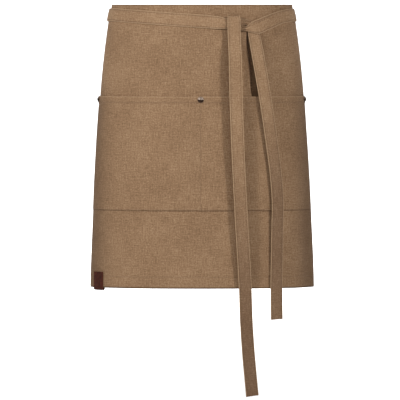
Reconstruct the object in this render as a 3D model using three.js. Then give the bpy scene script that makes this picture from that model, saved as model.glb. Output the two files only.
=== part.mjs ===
import * as THREE from "three";

// Driving sizes, in millimetres; the front faces -Y and the top edge lies at Z = 0
const WAIST_WIDTH = 324.4;
const WAIST_DEPTH = 232;
const BACK_GAP = 90;
const PANEL_LENGTH = 502;
const CANVAS = 1.3;
const GAP = 0.35;
const HEM_FOLD = 0.9;
const BOTTOM_HEM = 22;
const SIDE_HEM = 16;
const TOP_HEM = 30;
const HEM_STEP = 1.5;
const HEM_DROP = 15;
const FOLD_DEPTH = 6;
const CREASE_DEPTH = 13;
const CREASE_STEEP = 5;
const CREASE_GENTLE = 16;
const POCKET_WIDTH = 456;
const POCKET_ACROSS = -2.5;
const POCKET_TOP = 162;
const POCKET_HEIGHT = 202;
const POCKET_CANVAS = 1.2;
const POCKET_HEM = 12;
const POCKET_HEM_FOLD = 0.7;
const POCKET_SLACK = 0.4;
const RIVET_RADIUS = 5.4;
const RIVET_INSET = 6.5;
const RIVET_DROP = 5.5;
const RIVET_SEGMENTS = 24;
const TIE_WIDTH = 23;
const TIE_THICKNESS = 1.6;
const TIE_STEP = 10;
const SEWN_LENGTH = 18;
const SEWN_TURN = 3;
const SEWN_DOWN = 0.543;
const KNOT_ACROSS = 54.5;
const KNOT_DOWN = 33;
const LONG_TAIL = 191;
const SHORT_TAIL = 55;
const TAG_LEFT = -214.5;
const TAG_WIDTH = 25;
const TAG_FRONT = 33;
const TAG_BACK = 22;
const TAG_LEATHER = 1.3;
const TAG_DROP = 4.5;
const TAG_GAP = 0.6;
const COLUMN_STEP = 16;
const ROW_STEP = 27;
const NEAREST_LINES = 0.5;
const SECTION_POWER = 2.2;
const SECTION_SAMPLES = 360;
const PROBE = 0.4;

// The worn skirt at shares of its length, with its width and depth as shares of the waist's
const SECTIONS = [
  { down: 0, wide: 1, deep: 1 },
  { down: 0.07, wide: 1.04, deep: 0.995 },
  { down: 0.22, wide: 1.1, deep: 0.985 },
  { down: 0.31, wide: 1.126, deep: 0.985 },
  { down: 0.48, wide: 1.171, deep: 0.995 },
  { down: 0.74, wide: 1.226, deep: 1.03 },
  { down: 1.03, wide: 1.273, deep: 1.07 },
];

// Soft folds: places and spread as shares of half the panel, depths of the fold depth, heights of the length
const SOFT_FOLDS = [
  { head: 0.153, foot: 0.192, spread: 0.048, headDepth: -0.6, footDepth: -0.2, start: 0.06, end: 0.16 },
  { head: 0.32, foot: 0.38, spread: 0.032, headDepth: -0.5, footDepth: -0.33, start: 0.12, end: 0.26 },
  { head: 0.49, foot: 0.525, spread: 0.05, headDepth: -0.33, footDepth: -0.67, start: 0.12, end: 0.8 },
  { head: -0.375, foot: -0.412, spread: 0.085, headDepth: -0.1, footDepth: -0.33, start: 0.12, end: 0.6 },
  { head: -0.67, foot: -0.655, spread: 0.06, headDepth: -0.17, footDepth: -1, start: 0.12, end: 0.96 },
  { head: 0.68, foot: 0.67, spread: 0.06, headDepth: -0.17, footDepth: -1, start: 0.12, end: 0.96 },
  { head: -0.825, foot: -0.805, spread: 0.055, headDepth: 0.1, footDepth: 0.83, start: 0.16, end: 0.96 },
  { head: 0.835, foot: 0.815, spread: 0.055, headDepth: 0.1, footDepth: 0.83, start: 0.16, end: 0.96 },
];

// The sharp crease below the knot: places as shares of half the panel, its top from the knot's place in tie
// widths and its foot from the pocket's top in pocket heights
const CREASE = { head: 0.212, foot: 0.231, start: 0.1, deepest: 1.6, fade: -0.13, end: 0.09 };

// Tie routes: down, across and width in tie widths from the top edge or the knot, lift and thick in
// tie thicknesses, spin in degrees; over the pocket and at the foot, places are shares of pocket and skirt
const BACK_ROUTE = [
  { turn: 165, down: 0.57, lift: 0.97 },
  { turn: 180, down: 1.087, lift: 0.97 },
  { turn: 195, down: 1.53, lift: 0.97 },
  { turn: 203, down: 1.7, lift: 1.09 },
  { turn: 222, down: 1.565, lift: 1.09 },
  { turn: 245, down: 1.087, lift: 1.3 },
  { turn: 268, down: 0.804, lift: 1.6 },
  { turn: 286, down: 0.804, lift: 1.6 },
  { turn: 303, down: 0.935, lift: 1.72 },
];
const CROSSING_ROUTE = [
  { turn: 165, down: 0.57, lift: 2.45 },
  { turn: 180, down: 1.087, lift: 2.6 },
  { turn: 195, down: 1.53, lift: 2.35 },
  { turn: 203, down: 1.7, lift: 1.3 },
  { turn: 222, down: 1.565, lift: 1.09 },
  { turn: 245, down: 1.087, lift: 1.47 },
  { turn: 268, down: 0.783, lift: 2.1 },
  { turn: 286, down: 0.774, lift: 1.84 },
  { turn: 312, down: 0.887, lift: 1.22 },
  { turn: 338, down: 1.07, lift: 1.09 },
];
const LONG_KNOT = [
  { across: 2.5, down: -0.02, lift: 2.47, spin: 180, width: 1.08, thick: 1 },
  { across: 1.89, down: 0.24, lift: 2.97, spin: 180, width: 1.1, thick: 1 },
  { across: 1.413, down: 0.32, lift: 3.15, spin: 180, width: 0.84, thick: 1.12 },
  { across: 0.935, down: 0.42, lift: 2.1, spin: 182, width: 0.3, thick: 1.25 },
  { across: 0.5, down: 0.33, lift: 0.82, spin: 205, width: 0.38, thick: 1.25 },
  { across: 0.152, down: 0.065, lift: 0.72, spin: 245, width: 0.61, thick: 1.12 },
  { across: 0.004, down: -0.26, lift: 0.72, spin: 270, width: 0.78, thick: 1 },
  { across: 0, down: -0.47, lift: 1.6, spin: 270, width: 0.91, thick: 1 },
  { across: 0, down: -0.526, lift: 2.85, spin: 270, width: 0.957, thick: 1 },
  { across: 0, down: -0.452, lift: 4.1, spin: 270, width: 0.98, thick: 1 },
  { across: 0.004, down: -0.217, lift: 4.85, spin: 270, width: 1, thick: 1 },
  { across: 0.013, down: 0.52, lift: 4.72, spin: 270, width: 1, thick: 1 },
  { across: 0.065, down: 2.826, lift: 8.8, spin: 270, width: 1, thick: 1 },
];
const LONG_OVER_POCKET = [
  { across: 0.353, down: -0.01, over: 0.8, lift: 8 },
  { across: 0.37, down: 0.361, over: 0.6, lift: 8 },
  { across: 0.404, down: 0.896, over: 0.48, lift: 6.4 },
];
const LONG_FOOT = [
  { across: 0.432, down: -0.44, over: 0.2, lift: 5.6 },
  { across: 0.464, down: 0, over: 0, lift: 3.7 },
  { across: 0.474, down: 0.247, over: 0, lift: 3.2 },
  { across: 0.4975, down: 0.56, over: 0, lift: 2.5 },
  { across: 0.546, down: 1, over: 0, lift: 1.6 },
];
const SHORT_KNOT = [
  { across: -2.543, down: -0.165, lift: 1.09, spin: 0, width: 1, thick: 1 },
  { across: -1.239, down: -0.061, lift: 1.84, spin: 0, width: 0.957, thick: 1 },
  { across: -0.4565, down: 0.017, lift: 2.66, spin: 0, width: 0.74, thick: 1 },
  { across: 0.065, down: 0, lift: 2.84, spin: 0, width: 0.674, thick: 1 },
  { across: 0.5435, down: -0.087, lift: 2.53, spin: 2, width: 0.4565, thick: 1.25 },
  { across: 0.935, down: -0.1, lift: 1.22, spin: 12, width: 0.37, thick: 1.25 },
  { across: 1.283, down: 0.1, lift: 0.78, spin: 48, width: 0.53, thick: 1.12 },
  { across: 1.5, down: 0.5, lift: 0.75, spin: 80, width: 0.783, thick: 1 },
  { across: 1.6, down: 1, lift: 1.7, spin: 88, width: 0.935, thick: 1 },
  { across: 1.77, down: 2.13, lift: 3.7, spin: 90, width: 1, thick: 1 },
];
const SHORT_OVER_POCKET = [
  { across: 0.636, down: -0.149, over: 0.8, lift: 3.7 },
  { across: 0.671, down: 0.03, over: 1, lift: 4.1 },
  { across: 0.7337, down: 0.376, over: 0.9, lift: 4.2 },
  { across: 0.79, down: 0.723, over: 0.7, lift: 3.8 },
  { across: 0.8076, down: 0.896, over: 0.6, lift: 3.4 },
];
const SHORT_FOOT = [
  { across: 0.8076, down: -1.6, over: 0.2, lift: 3.2 },
  { across: 0.805, down: 0, over: 0, lift: 2.4 },
  { across: 0.811, down: 1, over: 0, lift: 2 },
];

// Rivet cap in profile, as shares of its radius
const RIVET_PROFILE = [
  { radius: 0, height: 0 },
  { radius: 0.96, height: 0 },
  { radius: 1, height: 0.1 },
  { radius: 0.95, height: 0.2 },
  { radius: 0.8, height: 0.24 },
  { radius: 0.7, height: 0.36 },
  { radius: 0.42, height: 0.5 },
  { radius: 0, height: 0.55 },
];

const CANVAS_BROWN = { color: 0x9b7d5f, roughness: 0.92, metalness: 0 };
const POCKET_BROWN = { color: 0x9a7b5e, roughness: 0.92, metalness: 0 };
const TIE_BROWN = { color: 0xa28262, roughness: 0.9, metalness: 0 };
const RIVET_METAL = { color: 0x4c423c, roughness: 0.32, metalness: 0.9 };
const TAG_BROWN = { color: 0x45241b, roughness: 0.6, metalness: 0 };

function ease(value, from, to) {
  return THREE.MathUtils.smoothstep(value, from, to);
}

// Slope at a row of a table that never overshoots its neighbours
function rowSlope(rows, key, column, index) {
  const before = rows[index - 1];
  const here = rows[index];
  const after = rows[index + 1];
  if (!before || !after) {
    return 0;
  }
  const rise = (here[column] - before[column]) / (here[key] - before[key]);
  const next = (after[column] - here[column]) / (after[key] - here[key]);
  return rise * next > 0 ? (2 * rise * next) / (rise + next) : 0;
}

// A column of a table read smoothly between its rows
function readTable(rows, key, column, value) {
  const at = THREE.MathUtils.clamp(value, rows[0][key], rows[rows.length - 1][key]);
  const found = rows.findIndex((row) => row[key] > at);
  const index = found < 0 ? rows.length - 2 : found - 1;
  const low = rows[index];
  const high = rows[index + 1];
  const span = high[key] - low[key];
  const t = (at - low[key]) / span;
  const lowPull = span * rowSlope(rows, key, column, index);
  const highPull = span * rowSlope(rows, key, column, index + 1);
  const back = 1 - t;
  const ends = back * back * (1 + 2 * t) * low[column] + t * t * (3 - 2 * t) * high[column];
  return ends + t * back * (back * lowPull - t * highPull);
}

function sectionAt(down) {
  const read = (column) => readTable(SECTIONS, "down", column, down / PANEL_LENGTH);
  return { half: (WAIST_WIDTH / 2) * read("wide"), depth: (WAIST_DEPTH / 2) * read("deep") };
}

function signedPower(value, power) {
  return Math.sign(value) * Math.abs(value) ** power;
}

// Point of the plain section at a turn from the front, counted towards the right
function sectionPoint(section, turn) {
  const power = 2 / SECTION_POWER;
  const x = section.half * signedPower(Math.sin(turn), power);
  const y = -section.depth * signedPower(Math.cos(turn), power);
  return new THREE.Vector2(x, y);
}

// The turn at each length along half a section, worked out once for each height
const arcTables = new Map();
function arcTable(down) {
  if (!arcTables.has(down)) {
    const section = sectionAt(down);
    const rows = [{ turn: 0, arc: 0 }];
    let last = sectionPoint(section, 0);
    for (let step = 1; step <= SECTION_SAMPLES; step += 1) {
      const turn = (Math.PI * step) / SECTION_SAMPLES;
      const point = sectionPoint(section, turn);
      rows.push({ turn, arc: rows[step - 1].arc + point.distanceTo(last) });
      last = point;
    }
    arcTables.set(down, rows);
  }
  return arcTables.get(down);
}

function turnAtArc(arc, down) {
  const rows = arcTable(down);
  const length = Math.abs(arc);
  const index = Math.max(1, rows.findIndex((row) => row.arc >= length));
  const low = rows[index - 1];
  const high = rows[index];
  const share = (length - low.arc) / (high.arc - low.arc);
  return Math.sign(arc) * THREE.MathUtils.lerp(low.turn, high.turn, share);
}

function turnAcross(across, down) {
  const share = Math.abs(across) / sectionAt(down).half;
  return Math.sign(across) * Math.asin(share ** (SECTION_POWER / 2));
}

// The way out of the skirt and the way along it at a turn
function sectionWays(section, turn) {
  const small = PROBE / section.half;
  const ahead = sectionPoint(section, turn + small);
  const behind = sectionPoint(section, turn - small);
  const along = ahead.sub(behind).normalize();
  return { along: new THREE.Vector3(along.x, along.y, 0), out: new THREE.Vector3(along.y, -along.x, 0) };
}

function heightAt(turn, down) {
  const droop = (HEM_DROP * (1 - Math.cos(turn))) / 2;
  return -down * (1 + droop / PANEL_LENGTH);
}

function skirtPoint(turn, down, out) {
  const section = sectionAt(down);
  const flat = sectionPoint(section, turn);
  const base = new THREE.Vector3(flat.x, flat.y, heightAt(turn, down));
  return base.addScaledVector(sectionWays(section, turn).out, out);
}

function bell(distance, spread) {
  return Math.exp(-((distance / spread) ** 2));
}

const sideEdge = arcTable(0)[SECTION_SAMPLES].arc - BACK_GAP / 2;

function foldDepth(fold, arc, down) {
  const share = down / PANEL_LENGTH;
  const place = sideEdge * THREE.MathUtils.lerp(fold.head, fold.foot, share);
  const depth = FOLD_DEPTH * THREE.MathUtils.lerp(fold.headDepth, fold.footDepth, share);
  return depth * bell(arc - place, sideEdge * fold.spread) * ease(share, fold.start, fold.end);
}

function softDepth(arc, down) {
  return SOFT_FOLDS.reduce((sum, fold) => sum + foldDepth(fold, arc, down), 0);
}

const crease = {
  head: sideEdge * CREASE.head,
  foot: sideEdge * CREASE.foot,
  start: KNOT_DOWN + TIE_WIDTH * CREASE.start,
  deepest: KNOT_DOWN + TIE_WIDTH * CREASE.deepest,
  fade: POCKET_TOP + POCKET_HEIGHT * CREASE.fade,
  end: POCKET_TOP + POCKET_HEIGHT * CREASE.end,
};

function creasePlace(down) {
  return THREE.MathUtils.lerp(crease.head, crease.foot, ease(down, crease.start, crease.fade));
}

function creaseDepth(arc, down) {
  const strength = ease(down, crease.start, crease.deepest) * (1 - ease(down, crease.fade, crease.end));
  const distance = arc - creasePlace(down);
  return -CREASE_DEPTH * strength * bell(distance, distance < 0 ? CREASE_STEEP : CREASE_GENTLE);
}

// Columns lean with the crease, so that they follow it down the cloth
function leaningArc(column, down) {
  const lean = creasePlace(down) - crease.head;
  return column + lean * bell(column - crease.head, 2 * CREASE_GENTLE);
}

function panelMiddle(arc, down) {
  return skirtPoint(turnAtArc(arc, down), down, softDepth(arc, down) + creaseDepth(arc, down));
}

function pocketSlack(arc, down) {
  const half = POCKET_WIDTH / 2;
  const open = Math.sin((Math.PI * (arc - POCKET_ACROSS)) / half) ** 2;
  const height = (down - POCKET_TOP) / POCKET_HEIGHT;
  return POCKET_SLACK * open * (1 - ease(height, 0.3, 1));
}

function pocketMiddle(arc, down) {
  const stand = CANVAS / 2 + GAP + POCKET_CANVAS / 2;
  const out = softDepth(arc, down) + pocketSlack(arc, down) + stand;
  return skirtPoint(turnAtArc(arc, down), down, out);
}

// Outward normal of a cloth surface, from its own points nearby
function surfaceNormal(surface, arc, down) {
  const near = Math.max(0, down - PROBE);
  const downWay = surface(arc, down + PROBE).sub(surface(arc, near));
  const alongWay = surface(arc + PROBE, down).sub(surface(arc - PROBE, down));
  return downWay.cross(alongWay).normalize();
}

// A closed sheet from a grid of outer and inner points
function sheetGeometry(grid) {
  const lines = grid.length;
  const across = grid[0].length;
  const points = [];
  grid.flat().forEach((pair) => points.push(...pair.outer.toArray(), ...pair.inner.toArray()));
  const outer = (line, column) => 2 * (line * across + column);
  const inner = (line, column) => outer(line, column) + 1;
  const faces = [];
  const quad = (a, b, c, d) => faces.push(a, b, c, a, c, d);
  for (let line = 0; line < lines - 1; line += 1) {
    for (let column = 0; column < across - 1; column += 1) {
      const next = column + 1;
      quad(outer(line, column), outer(line + 1, column), outer(line + 1, next), outer(line, next));
      quad(inner(line, column), inner(line, next), inner(line + 1, next), inner(line + 1, column));
    }
    const last = across - 1;
    quad(outer(line + 1, 0), outer(line, 0), inner(line, 0), inner(line + 1, 0));
    quad(outer(line, last), outer(line + 1, last), inner(line + 1, last), inner(line, last));
  }
  for (let column = 0; column < across - 1; column += 1) {
    const next = column + 1;
    const foot = lines - 1;
    quad(outer(0, column), outer(0, next), inner(0, next), inner(0, column));
    quad(outer(foot, next), outer(foot, column), inner(foot, column), inner(foot, next));
  }
  const geometry = new THREE.BufferGeometry();
  geometry.setAttribute("position", new THREE.Float32BufferAttribute(points, 3));
  geometry.setIndex(faces);
  geometry.computeVertexNormals();
  return geometry;
}

function pieceMesh(name, geometry, look) {
  const mesh = new THREE.Mesh(geometry, new THREE.MeshStandardMaterial({ ...look, name }));
  mesh.name = name;
  return mesh;
}

// Even stops between two ends, joined by the stops that must be there
function gridStops(from, to, step, needed) {
  const count = Math.round((to - from) / step);
  const fixed = needed.filter((stop) => stop > from && stop < to);
  const stops = [from, to, ...fixed];
  for (let index = 1; index < count; index += 1) {
    const stop = from + ((to - from) * index) / count;
    if (stops.every((other) => Math.abs(other - stop) > step / 3)) {
      stops.push(stop);
    }
  }
  stops.sort((a, b) => a - b);
  return stops.filter((stop, index) => index === 0 || stop - stops[index - 1] > NEAREST_LINES);
}

function creaseColumns() {
  const steep = [0.25, 0.5, 0.75, 1.05, 1.4, 1.9].map((share) => crease.head - share * CREASE_STEEP);
  const gentle = [0.15, 0.4, 0.7, 1.05, 1.5, 2.1].map((share) => crease.head + share * CREASE_GENTLE);
  return [...steep, crease.head, ...gentle];
}

const pocketEdge = POCKET_WIDTH / 2;
const pocketFoot = POCKET_TOP + POCKET_HEIGHT;
const tagColumns = [0, 0.25, 0.5, 0.75, 1].map((share) => TAG_LEFT + TAG_WIDTH * share);
const panelColumns = gridStops(-sideEdge, sideEdge, COLUMN_STEP, [
  -sideEdge + SIDE_HEM, -sideEdge + SIDE_HEM + HEM_STEP, sideEdge - SIDE_HEM - HEM_STEP, sideEdge - SIDE_HEM,
  POCKET_ACROSS - pocketEdge, POCKET_ACROSS, POCKET_ACROSS + pocketEdge, ...tagColumns, ...creaseColumns(),
]);
const panelRows = gridStops(0, PANEL_LENGTH, ROW_STEP, [
  TOP_HEM, TOP_HEM + HEM_STEP, (crease.start + crease.deepest) / 2, POCKET_TOP, POCKET_TOP + POCKET_HEM,
  POCKET_TOP + POCKET_HEM + HEM_STEP, pocketFoot, PANEL_LENGTH - TAG_FRONT + TAG_DROP,
  PANEL_LENGTH - BOTTOM_HEM - HEM_STEP, PANEL_LENGTH - BOTTOM_HEM,
]);

// How much thicker the panel is where its edge is folded in
function hemThickness(column, down) {
  const side = ease(Math.abs(column), sideEdge - SIDE_HEM - HEM_STEP, sideEdge - SIDE_HEM);
  const foot = ease(down, PANEL_LENGTH - BOTTOM_HEM - HEM_STEP, PANEL_LENGTH - BOTTOM_HEM);
  const head = 1 - ease(down, TOP_HEM, TOP_HEM + HEM_STEP);
  return HEM_FOLD * Math.max(side, foot, head);
}

function apronPanel() {
  const grid = panelRows.map((down) => panelColumns.map((column) => {
    const arc = leaningArc(column, down);
    const middle = panelMiddle(arc, down);
    const normal = surfaceNormal(panelMiddle, arc, down);
    const inward = -CANVAS / 2 - hemThickness(column, down);
    const outer = middle.clone().addScaledVector(normal, CANVAS / 2);
    return { outer, inner: middle.addScaledVector(normal, inward) };
  }));
  return pieceMesh("apron_panel", sheetGeometry(grid), CANVAS_BROWN);
}

function pocket() {
  const columns = panelColumns.filter((column) => Math.abs(column - POCKET_ACROSS) <= pocketEdge);
  const rows = panelRows.filter((down) => down >= POCKET_TOP && down <= pocketFoot);
  const hemFoot = POCKET_TOP + POCKET_HEM;
  const grid = rows.map((down) => columns.map((column) => {
    const arc = leaningArc(column, down);
    const middle = pocketMiddle(arc, down);
    const normal = surfaceNormal(pocketMiddle, arc, down);
    const fold = POCKET_HEM_FOLD * (1 - ease(down, hemFoot, hemFoot + HEM_STEP));
    const outer = middle.clone().addScaledVector(normal, POCKET_CANVAS / 2 + fold);
    return { outer, inner: middle.addScaledVector(normal, -POCKET_CANVAS / 2) };
  }));
  return pieceMesh("pocket", sheetGeometry(grid), POCKET_BROWN);
}

function rivetCap(name, arc) {
  const down = POCKET_TOP + RIVET_DROP;
  const normal = surfaceNormal(pocketMiddle, arc, down);
  const lift = POCKET_CANVAS / 2 + POCKET_HEM_FOLD + GAP;
  const shares = RIVET_PROFILE.map((row) => new THREE.Vector2(row.radius, row.height));
  const profile = shares.map((point) => point.multiplyScalar(RIVET_RADIUS));
  const cap = pieceMesh(name, new THREE.LatheGeometry(profile, RIVET_SEGMENTS), RIVET_METAL);
  cap.position.copy(pocketMiddle(arc, down)).addScaledVector(normal, lift);
  cap.quaternion.setFromUnitVectors(new THREE.Vector3(0, 1, 0), normal);
  return cap;
}

// The part of a tie's route that goes round the back, from its sewn end
function backRows(route, side) {
  const sewn = THREE.MathUtils.radToDeg(turnAtArc(sideEdge - SEWN_LENGTH, 0));
  const first = { ...route[0], turn: Math.min(sewn, route[0].turn - SEWN_TURN), down: SEWN_DOWN };
  return [first, ...route].map((row) => ({
    turn: side * THREE.MathUtils.degToRad(row.turn),
    down: row.down * TIE_WIDTH,
    out: CANVAS / 2 + row.lift * TIE_THICKNESS,
    spin: side < 0 ? 180 : 0,
    width: TIE_WIDTH,
    thick: TIE_THICKNESS,
  }));
}

// A stretch of a tie's route in front, measured from a place in units of its own
function frontRows(rows, spin, laps, place) {
  const stand = GAP + POCKET_CANVAS + POCKET_HEM_FOLD + POCKET_SLACK;
  return rows.map((row) => {
    const across = place.across + row.across * place.acrossUnit;
    const down = place.down + row.down * place.downUnit;
    return {
      turn: laps + turnAcross(across, down),
      down,
      out: CANVAS / 2 + stand * (row.over ?? 0) + row.lift * TIE_THICKNESS,
      spin: row.spin ?? spin,
      width: TIE_WIDTH * (row.width ?? 1),
      thick: TIE_THICKNESS * (row.thick ?? 1),
    };
  });
}

// All rows of a tie, with the length run so far as their key
function tieRows(side, back, knot, overPocket, foot, tail) {
  const laps = side * 2 * Math.PI;
  const hangingSpin = side < 0 ? 270 : 90;
  const knotPlace = { across: KNOT_ACROSS, acrossUnit: TIE_WIDTH, down: KNOT_DOWN, downUnit: TIE_WIDTH };
  const pocketPlace = { across: 0, acrossUnit: WAIST_WIDTH / 2, down: POCKET_TOP, downUnit: POCKET_HEIGHT };
  const footPlace = { across: 0, acrossUnit: WAIST_WIDTH / 2, down: PANEL_LENGTH, downUnit: tail };
  const rows = [
    ...backRows(back, side),
    ...frontRows(knot, hangingSpin, laps, knotPlace),
    ...frontRows(overPocket, hangingSpin, laps, pocketPlace),
    ...frontRows(foot, hangingSpin, laps, footPlace),
  ];
  let run = 0;
  rows.forEach((row, index) => {
    row.point = skirtPoint(row.turn, row.down, row.out);
    run += index > 0 ? row.point.distanceTo(rows[index - 1].point) : 0;
    row.run = run;
  });
  return rows;
}

function tieStops(rows) {
  const stops = [];
  for (let index = 1; index < rows.length; index += 1) {
    const from = rows[index - 1].run;
    const span = rows[index].run - from;
    const count = Math.max(2, Math.round(span / TIE_STEP));
    for (let step = 0; step < count; step += 1) {
      stops.push(from + (span * step) / count);
    }
  }
  return [...stops, rows[rows.length - 1].run];
}

function tiePoint(rows, run) {
  const read = (column) => readTable(rows, "run", column, run);
  return skirtPoint(read("turn"), read("down"), read("out"));
}

// One ring of a tie: its two edges, each as an outer and an inner point
function tieRing(rows, run) {
  const last = rows[rows.length - 1].run;
  const ahead = tiePoint(rows, Math.min(last, run + PROBE));
  const heading = ahead.sub(tiePoint(rows, Math.max(0, run - PROBE))).normalize();
  const read = (column) => readTable(rows, "run", column, run);
  const along = sectionWays(sectionAt(read("down")), read("turn")).along;
  const spin = THREE.MathUtils.degToRad(read("spin"));
  const upWay = skirtPoint(read("turn"), Math.max(0, read("down") - TIE_WIDTH / 2), 0);
  upWay.sub(skirtPoint(read("turn"), read("down") + TIE_WIDTH / 2, 0)).normalize();
  const widthWay = upWay.multiplyScalar(Math.cos(spin)).addScaledVector(along, Math.sin(spin));
  widthWay.addScaledVector(heading, -widthWay.dot(heading)).normalize();
  const face = heading.clone().cross(widthWay);
  const center = tiePoint(rows, run);
  return [-0.5, 0.5].map((side) => {
    const edge = center.clone().addScaledVector(widthWay, side * read("width"));
    const outer = edge.clone().addScaledVector(face, read("thick") / 2);
    return { outer, inner: edge.addScaledVector(face, -read("thick") / 2) };
  });
}

function tie(name, rows) {
  const grid = tieStops(rows).map((run) => tieRing(rows, run));
  return pieceMesh(name, sheetGeometry(grid), TIE_BROWN);
}

// The tag's path in section: down the front, round the hem's edge and up inside
function tagPath() {
  const frontOut = CANVAS / 2 + TAG_GAP + TAG_LEATHER / 2;
  const backOut = -CANVAS / 2 - HEM_FOLD - TAG_GAP - TAG_LEATHER / 2;
  const radius = (frontOut - backOut) / 2;
  const middleOut = (frontOut + backOut) / 2;
  const bendDown = PANEL_LENGTH + TAG_DROP - radius - TAG_LEATHER / 2;
  const path = [
    { down: PANEL_LENGTH + TAG_DROP - TAG_FRONT, out: frontOut },
    { down: PANEL_LENGTH + TAG_DROP - TAG_FRONT / 2, out: frontOut },
  ];
  const bends = 6;
  for (let bend = 0; bend <= bends; bend += 1) {
    const angle = (Math.PI * bend) / bends;
    path.push({ down: bendDown + radius * Math.sin(angle), out: middleOut + radius * Math.cos(angle) });
  }
  path.push({ down: PANEL_LENGTH + TAG_DROP - TAG_BACK, out: backOut });
  return path;
}

function leatherTag() {
  const path = tagPath();
  const spot = (row, column) => {
    const down = Math.min(row.down, PANEL_LENGTH);
    return skirtPoint(turnAtArc(column, down), row.down, row.out + softDepth(column, down));
  };
  const grid = path.map((row, index) => tagColumns.map((column) => {
    const before = path[Math.max(0, index - 1)];
    const after = path[Math.min(path.length - 1, index + 1)];
    const heading = spot(after, column).sub(spot(before, column)).normalize();
    const along = spot(row, column + PROBE).sub(spot(row, column - PROBE)).normalize();
    const face = heading.cross(along).normalize();
    const middle = spot(row, column);
    const outer = middle.clone().addScaledVector(face, TAG_LEATHER / 2);
    return { outer, inner: middle.addScaledVector(face, -TAG_LEATHER / 2) };
  }));
  return pieceMesh("leather_tag", sheetGeometry(grid), TAG_BROWN);
}

const rivetArc = POCKET_WIDTH / 2 - RIVET_INSET;
const apron = new THREE.Group();
apron.name = "waist_apron";
apron.add(
  apronPanel(),
  pocket(),
  rivetCap("rivet_left", POCKET_ACROSS - rivetArc),
  rivetCap("rivet_center", POCKET_ACROSS),
  rivetCap("rivet_right", POCKET_ACROSS + rivetArc),
  tie("tie_long", tieRows(-1, BACK_ROUTE, LONG_KNOT, LONG_OVER_POCKET, LONG_FOOT, LONG_TAIL)),
  tie("tie_short", tieRows(1, CROSSING_ROUTE, SHORT_KNOT, SHORT_OVER_POCKET, SHORT_FOOT, SHORT_TAIL)),
  leatherTag(),
);

export default apron;
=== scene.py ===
import math
import random

import bpy
import numpy as np
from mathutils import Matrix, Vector


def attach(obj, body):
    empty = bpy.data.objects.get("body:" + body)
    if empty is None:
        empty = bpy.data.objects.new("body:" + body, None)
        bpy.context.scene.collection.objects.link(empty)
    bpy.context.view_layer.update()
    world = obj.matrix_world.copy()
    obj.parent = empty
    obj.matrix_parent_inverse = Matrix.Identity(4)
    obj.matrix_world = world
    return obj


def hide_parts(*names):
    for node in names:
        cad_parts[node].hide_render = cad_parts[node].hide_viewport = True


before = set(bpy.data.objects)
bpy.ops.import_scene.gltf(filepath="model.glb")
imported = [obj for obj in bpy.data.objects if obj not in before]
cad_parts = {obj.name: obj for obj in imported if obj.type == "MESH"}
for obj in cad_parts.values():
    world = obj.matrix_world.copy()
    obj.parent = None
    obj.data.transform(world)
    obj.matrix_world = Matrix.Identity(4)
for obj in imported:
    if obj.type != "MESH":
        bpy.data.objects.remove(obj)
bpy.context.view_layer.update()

# Sizes of the worn apron in metres, but the sewn turn in degrees and its height in tie widths.
# The front faces -Y, and the top edge lies at Z = 0
WAIST_WIDTH = 0.3244
WAIST_DEPTH = 0.232
BACK_GAP = 0.09
PANEL_LENGTH = 0.502
CANVAS = 0.0013
GAP = 0.00035
HEM_FOLD = 0.0009
BOTTOM_HEM = 0.022
SIDE_HEM = 0.016
TOP_HEM = 0.03
HEM_STEP = 0.0015
HEM_DROP = 0.015
FOLD_DEPTH = 0.006
CREASE_DEPTH = 0.013
CREASE_STEEP = 0.005
CREASE_GENTLE = 0.016
POCKET_WIDTH = 0.456
POCKET_ACROSS = -0.0025
POCKET_TOP = 0.162
POCKET_HEIGHT = 0.202
POCKET_CANVAS = 0.0012
POCKET_HEM = 0.012
POCKET_HEM_FOLD = 0.0007
POCKET_SLACK = 0.0004
RIVET_RADIUS = 0.0054
RIVET_INSET = 0.0065
RIVET_DROP = 0.0055
TIE_WIDTH = 0.023
TIE_THICKNESS = 0.0016
SEWN_LENGTH = 0.018
SEWN_TURN = 3
SEWN_DOWN = 0.543
KNOT_ACROSS = 0.0545
KNOT_DOWN = 0.033
LONG_TAIL = 0.191
SHORT_TAIL = 0.055
TAG_LEFT = -0.2145
TAG_WIDTH = 0.025
TAG_FRONT = 0.033
TAG_BACK = 0.022
TAG_LEATHER = 0.0013
TAG_DROP = 0.0045
TAG_GAP = 0.0006
POCKET_FOOT = POCKET_TOP + POCKET_HEIGHT
POCKET_LEFT = POCKET_ACROSS - POCKET_WIDTH / 2
POCKET_RIGHT = POCKET_ACROSS + POCKET_WIDTH / 2

# The section's roundness, where the pocket's slack starts to fade down it, and the step of a measured slope
SECTION_POWER = 2.2
SLACK_FADE = 0.3
PROBE = 0.0004

# A tie's cloth: pleats in the knot, the drop of its edges, and the groove beside the knot, whose place and
# spread across are shares of the width
PLEATS = 5
PLEAT_DEPTH = 0.0011
CROWN_DROP = 0.0006
GROOVE_DEPTH = 0.0014
GROOVE_ACROSS = -0.25
GROOVE_SPREAD = 0.05
GROOVE_BEFORE = 0.03
GROOVE_LENGTH = 0.026

# How finely the pieces are meshed, and how their edges are rounded and shaded
CLOTH_STEP = 0.004
POCKET_STEP = 0.75 * CLOTH_STEP
TIE_STEP = 0.003
TIE_LINES = 16
LEATHER_STEP = 0.002
TAG_LINES = 12
TAG_BENDS = 12
CAP_SIDES = 48
EDGE_ROUND = 0.00035
ROUNDED_ANGLE = 55
CLOTH_SMOOTH = 50
CAP_SMOOTH = 60

# Sewing: the thread, a stitch's length, pitch and spread, and how far a row of stitches lies from an edge
THREAD = 0.00045
THREAD_LIFT = 0.1 * THREAD
STITCH_LENGTH = 0.0027
STITCH_PITCH = 0.0034
STITCH_TILT = 0.05
STITCH_SIZES = (0.92, 1.06)
EDGE_INSET = 0.0022
HEM_INSET = 0.0014

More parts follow.
